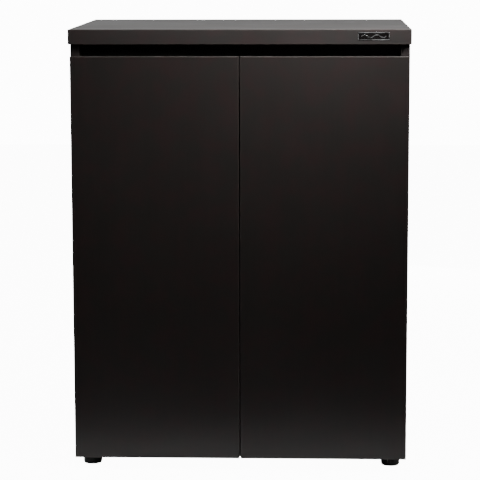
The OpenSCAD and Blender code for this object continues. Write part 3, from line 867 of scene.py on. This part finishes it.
@dataclass
class LevellingFoot:
    """One foot: a moulded base with a ribbed skirt, a soft pad under it, and a threaded stud."""

    place: str
    pad_t: float = 1.2 * MM
    pad_inset: float = 1.4 * MM
    round_r: float = 2.6 * MM
    chamfer: float = 1.0 * MM
    collar_h: float = 3.0 * MM
    collar_r: float = 8.0 * MM
    collar_round: float = 0.5 * MM
    tuck: float = 0.7
    rib_low: float = 6.2 * MM
    rib_high: float = 12.2 * MM
    rib_depth: float = 0.6 * MM
    rib_inset: float = 0.45 * MM
    ribs: int = 28
    pad_round: float = 0.4 * MM
    pad_steps: int = 48
    pitch: float = 1.25 * MM
    thread_depth: float = 0.70 * MM
    thread_steps: int = 36
    lead_in: float = 1.5

    def build(self) -> None:
        """Makes the base, the pad and the stud in the places of their CAD solids."""
        node = f"{self.place}_foot"
        low, high, middle = box_of(node)
        at = Matrix.Translation((middle.x, middle.y, low.z))
        radius, height = (high.x - low.x) / 2, high.z - low.z
        finish_piece(f"{node}_base", self._base(at, radius, height - self.collar_h), FOOT_PLASTIC, node,
                     [node])
        pad = self._pad(at, radius - self.pad_inset)
        finish_piece(f"{node}_pad", pad, PAD_RUBBER, node)
        self._stud(f"{self.place}_stud", node)

    def _base(self, at: Matrix, radius: float, height: float) -> bmesh.types.BMesh:
        """Turns the base, sinks the gaps between its ribs and stands the hexagonal collar on it.

        Args:
            at: The foot's place.
            radius: The base's radius.
            height: Its height without the collar.

        Returns:
            The base's mesh, in place.
        """
        bm = bmesh.new()
        under = self.pad_t * self.tuck
        outline = [(0.0, under), (radius - self.round_r, under),
                   *corner_arc((radius - self.round_r, under + self.round_r), self.round_r, -90, 0)[1:],
                   (radius, self.rib_low), (radius, self.rib_high),
                   *corner_arc((radius - self.chamfer, height - self.chamfer), self.chamfer, 0, 90, 3),
                   (self.collar_r + self.chamfer, height), (0.0, height)]
        turned(bm, outline, 2 * self.ribs)
        upright = 0.1
        wall = [f for f in bm.faces if self.rib_low < f.calc_center_median().z < self.rib_high
                and abs(f.normal.z) < upright]
        wall.sort(key=lambda f: math.atan2(f.calc_center_median().y, f.calc_center_median().x))
        bmesh.ops.inset_individual(bm, faces=wall[::2], thickness=self.rib_inset, depth=-self.rib_depth)
        rise = Matrix.Translation((0, 0, height + self.collar_h / 2))
        collar = bmesh.ops.create_cone(bm, cap_ends=True, segments=6, radius1=self.collar_r,
                                       radius2=self.collar_r, depth=self.collar_h, matrix=rise)
        top = [e for v in collar["verts"] for e in v.link_edges if e.is_valid
               and all(p.co.z > height + self.collar_h - WELD for p in e.verts)]
        ease(bm, set(top), self.collar_round, 2)
        bm.transform(at)
        return bm

    def _pad(self, at: Matrix, radius: float) -> bmesh.types.BMesh:
        """Turns the soft pad that the foot stands on.

        Args:
            at: The foot's place.
            radius: The pad's radius.

        Returns:
            The pad's mesh, in place.
        """
        bm = bmesh.new()
        soft = self.pad_round
        outline = [(0.0, 0.0), (radius - soft, 0.0),
                   *corner_arc((radius - soft, soft), soft, -90, 0, 4)[1:],
                   (radius, self.pad_t), (0.0, self.pad_t)]
        turned(bm, outline, self.pad_steps)
        bm.transform(at)
        return bm

    def _stud(self, node: str, body: str) -> None:
        """Winds the stud's thread, and cuts its ends flat.

        Args:
            node: The stud's CAD node.
            body: The CAD body that it rides on.
        """
        low, high, middle = box_of(node)
        radius = (high.x - low.x) / 2
        turns = math.ceil((high.z - low.z) / self.pitch + 2 * self.lead_in)
        bm = bmesh.new()
        start = low.z - self.lead_in * self.pitch
        verts = [bm.verts.new((radius - self.thread_depth * (i % 2), 0.0, start + i * self.pitch / 2))
                 for i in range(2 * turns)]
        edges = [bm.edges.new(pair) for pair in zip(verts, verts[1:])]
        bmesh.ops.spin(bm, geom=[*verts, *edges], cent=(0, 0, 0), axis=(0, 0, 1),
                       dvec=(0, 0, self.pitch / self.thread_steps), angle=math.tau, steps=self.thread_steps)
        bmesh.ops.remove_doubles(bm, verts=bm.verts, dist=2 * WELD)
        for level, way in ((low.z, -1), (high.z, 1)):
            bmesh.ops.bisect_plane(bm, geom=[*bm.verts, *bm.edges, *bm.faces], dist=WELD,
                                   plane_co=(0, 0, level), plane_no=(0, 0, way), clear_outer=True)
        bmesh.ops.holes_fill(bm, edges=[e for e in bm.edges if e.is_boundary], sides=0)
        bmesh.ops.recalc_face_normals(bm, faces=bm.faces)
        bm.transform(Matrix.Translation((middle.x, middle.y, 0)))
        finish_piece(f"{node}_threaded", bm, ZINC, body, [node])


@dataclass
class HoseGrommet:
    """One grommet in the back: a sleeve with a rounded lip that rests on the back's outer face."""

    side: Side
    lip_t: float = 2.0 * MM
    wall: float = 3.0 * MM
    lip_round: float = 0.9 * MM
    lip_stand: float = 4.0 * MM
    entry: float = 0.8 * MM
    steps: int = 72

    def build(self) -> None:
        """Turns the grommet, and lays it along the hole through the back."""
        node = f"{self.side.word}_hose_grommet"
        low, high, middle = box_of(node)
        outer = (high.x - low.x) / 2
        length = high.y - low.y
        sleeve = outer - self.lip_stand
        inner = sleeve - self.wall
        lip = length - self.lip_t
        crest = length - self.lip_round
        outline = [(inner, crest),
                   *corner_arc((inner + self.lip_round, crest), self.lip_round, 180, 90, 5)[1:],
                   *corner_arc((outer - self.lip_round, crest), self.lip_round, 90, 0, 5),
                   (outer, lip), (sleeve, lip), (sleeve, self.entry), (sleeve - self.entry, 0.0),
                   (inner, 0.0)]
        bm = bmesh.new()
        turned(bm, [*outline, outline[0]], self.steps)
        along = Matrix.Rotation(-math.pi / 2, 4, "X")
        bm.transform(Matrix.Translation((middle.x, low.y, middle.z)) @ along)
        bmesh.ops.recalc_face_normals(bm, faces=bm.faces)
        finish_piece(f"{node}_turned", bm, GROMMET_PLASTIC, "carcass", [node])


@dataclass
class Fittings:
    """The joinery and the small hardware, which keep their CAD shapes."""

    finishes: dict[str, Finish] = field(default_factory=lambda: {
        "cam_locks": DIE_CAST, "cam_bolts": ZINC, "wood_dowels": BEECH, "shelf_pins": ZINC,
        "foot_inserts": YELLOW_ZINC})

    def build(self) -> None:
        """Dresses each fitting."""
        for node, finish in self.finishes.items():
            dress_node(node, finish)


# ---- Studio ----

WHITE = (1.0, 1.0, 1.0, 1.0)


@dataclass(frozen=True)
class Softbox:
    """A rectangular area light, placed from the middle of the top board's front edge, at its top."""

    name: str
    place: tuple[float, float, float]
    aim: tuple[float, float, float]
    size: tuple[float, float]
    power: float
    spread: float = 180.0

    def build(self, front: Vector) -> None:
        """Makes the light.

        Args:
            front: The point that the light's place and aim are measured from.
        """
        lamp = bpy.data.lights.new(self.name, "AREA")
        lamp.shape = "RECTANGLE"
        lamp.size, lamp.size_y = self.size
        lamp.energy = self.power
        lamp.spread = math.radians(self.spread)
        holder = bpy.data.objects.new(self.name, lamp)
        holder.location = front + Vector(self.place)
        toward = Vector(self.aim) - Vector(self.place)
        holder.rotation_euler = toward.to_track_quat("-Z", "Y").to_euler()
        holder.visible_camera = False
        bpy.context.scene.collection.objects.link(holder)


SOFTBOXES = (
    Softbox("strip_above", (0.27, -0.22, 0.32), (0.17, 0.1, -0.4), (0.8, 0.12), 3.9),
    Softbox("key", (0.55, -0.6, 0.45), (0.1, 0.0, 0.1), (0.5, 0.3), 2.0, 70.0),
    Softbox("gridded", (0.2, -0.8, 0.30), (0.1, 0.0, 0.16), (0.8, 0.12), 0.22, 24.0),
    Softbox("floor_wash", (0.0, -0.13, 1.2), (0.0, -0.12, -0.788), (1.0, 0.1), 0.62, 25.0),
    Softbox("behind", (0.0, 2.6, 0.9), (0.0, 0.2, 0.0), (2.6, 1.0), 9.2),
    Softbox("rear_low", (0.7, 2.2, -0.45), (0.0, 0.45, -0.4), (1.2, 0.6), 7.0),
    Softbox("left_low", (-1.6, -0.3, -0.6), (0.0, -0.1, -0.6), (0.5, 0.3), 0.8),
    Softbox("right_low", (1.6, -0.3, -0.6), (0.0, -0.1, -0.6), (0.5, 0.3), 0.5),
    Softbox("left_side", (-1.4, 0.3, 0.4), (-0.5, 0.2, -0.5), (0.9, 1.1), 6.0),
    Softbox("right_side", (1.4, 0.3, 0.4), (0.5, 0.2, -0.5), (0.9, 1.1), 8.0),
)


@dataclass
class Studio:
    """A plain pale floor, a white surround, soft light from the front above, and the camera."""

    beside: float = 0.136
    before: float = 3.498
    above: float = 0.156
    yaw: float = -2.215
    pitch: float = 8.545
    roll: float = -0.131
    lens: float = 150.4
    sensor: float = 36.0
    floor_size: float = 6.0
    floor_front: float = 0.25
    floor_drop: float = 0.1 * MM
    paper: Colour = (0.86, 0.86, 0.86)
    white: float = 12.0
    sky_extra: float = 1.0
    room_front: float = 0.01
    room_behind: float = 0.03

    def build(self) -> None:
        """Makes the floor, the surround, the lights and the camera."""
        self._floor()
        self._surround()
        low, high = CAD_BOX
        front = Vector((0, low.y, high.z))
        for box in SOFTBOXES:
            box.build(front)
        self._camera(front)

    def _floor(self) -> None:
        """Lays the floor, which reads as white to the camera and lights the cabinet as paper does."""
        bm = bmesh.new()
        bmesh.ops.create_grid(bm, x_segments=2, y_segments=2, size=self.floor_size / 2)
        lift = CAD_BOX[0].z - self.floor_drop
        shift = CAD_BOX[0].y - self.floor_front + self.floor_size / 2
        bm.transform(Matrix.Translation((0, shift, lift)))
        mesh = bpy.data.meshes.new("floor")
        bm.to_mesh(mesh)
        bm.free()
        paper = bpy.data.materials.new("studio_paper")
        paper.use_nodes = True
        paper.node_tree.nodes.clear()
        graph = Graph(paper.node_tree)
        sheet = graph.add("BsdfDiffuse", {"Color": opaque(self.paper)})
        seen = graph.add("LightPath").outputs["Is Camera Ray"]
        strength = graph.math("MULTIPLY", seen, self.white)
        glow = graph.add("Emission", {"Color": WHITE, "Strength": strength})
        both = graph.add("AddShader", {0: sheet.outputs[0], 1: glow.outputs[0]})
        graph.add("OutputMaterial", {"Surface": both.outputs[0]})
        mesh.materials.append(paper)
        floor = bpy.data.objects.new("floor", mesh)
        bpy.context.scene.collection.objects.link(floor)

    def _surround(self) -> None:
        """Makes the world: white to the camera, and to the cabinet a pale room that is dark in front."""
        world = bpy.data.worlds.new("studio")
        world.use_nodes = True
        world.node_tree.nodes.clear()
        graph = Graph(world.node_tree)
        way = graph.add("SeparateXYZ", {0: graph.add("TexCoord").outputs["Generated"]})
        room = graph.remap(way.outputs["Y"], (-0.3, 0.6), (self.room_front, self.room_behind))
        seen = graph.add("LightPath").outputs["Is Camera Ray"]
        glare = self.white + self.sky_extra
        strength = graph.add("Mix", {0: seen, 2: room, 3: glare}, data_type="FLOAT").outputs[0]
        sky = graph.add("Background", {"Color": WHITE, "Strength": strength})
        graph.add("OutputWorld", {"Surface": sky.outputs[0]})
        bpy.context.scene.world = world

    def _camera(self, front: Vector) -> None:
        """Places the camera before the cabinet's front.

        Args:
            front: The middle of the top board's front edge, at its top.
        """
        yaw, pitch = math.radians(self.yaw), math.radians(self.pitch)
        level = math.cos(pitch)
        forward = Vector((math.sin(yaw) * level, math.cos(yaw) * level, -math.sin(pitch)))
        data = bpy.data.cameras.new("camera")
        data.sensor_width = self.sensor
        data.lens = self.lens
        data.clip_start, data.clip_end = 0.05, 50.0
        camera = bpy.data.objects.new("camera", data)
        camera.location = front + Vector((self.beside, -self.before, self.above))
        camera.rotation_mode = "QUATERNION"
        tilt = Quaternion((0, 0, 1), math.radians(self.roll))
        camera.rotation_quaternion = forward.to_track_quat("-Z", "Y") @ tilt
        bpy.context.scene.collection.objects.link(camera)
        bpy.context.scene.camera = camera


def main() -> None:
    """Builds every sub-assembly and the studio."""
    logging.basicConfig(level=logging.INFO, format="%(name)s: %(message)s")
    doors = [Door(side) for side in Side]
    grommets = [HoseGrommet(side) for side in Side]
    feet = [LevellingFoot(f"{row}_{side.word}") for row in ("front", "rear") for side in Side]
    parts = [Casework(), *doors, Hinges(), Badge(), *grommets, *feet, Fittings(), Studio()]
    for part in parts:
        LOG.info("building %s", type(part).__name__)
        part.build()


if __name__ == "__main__":
    main()
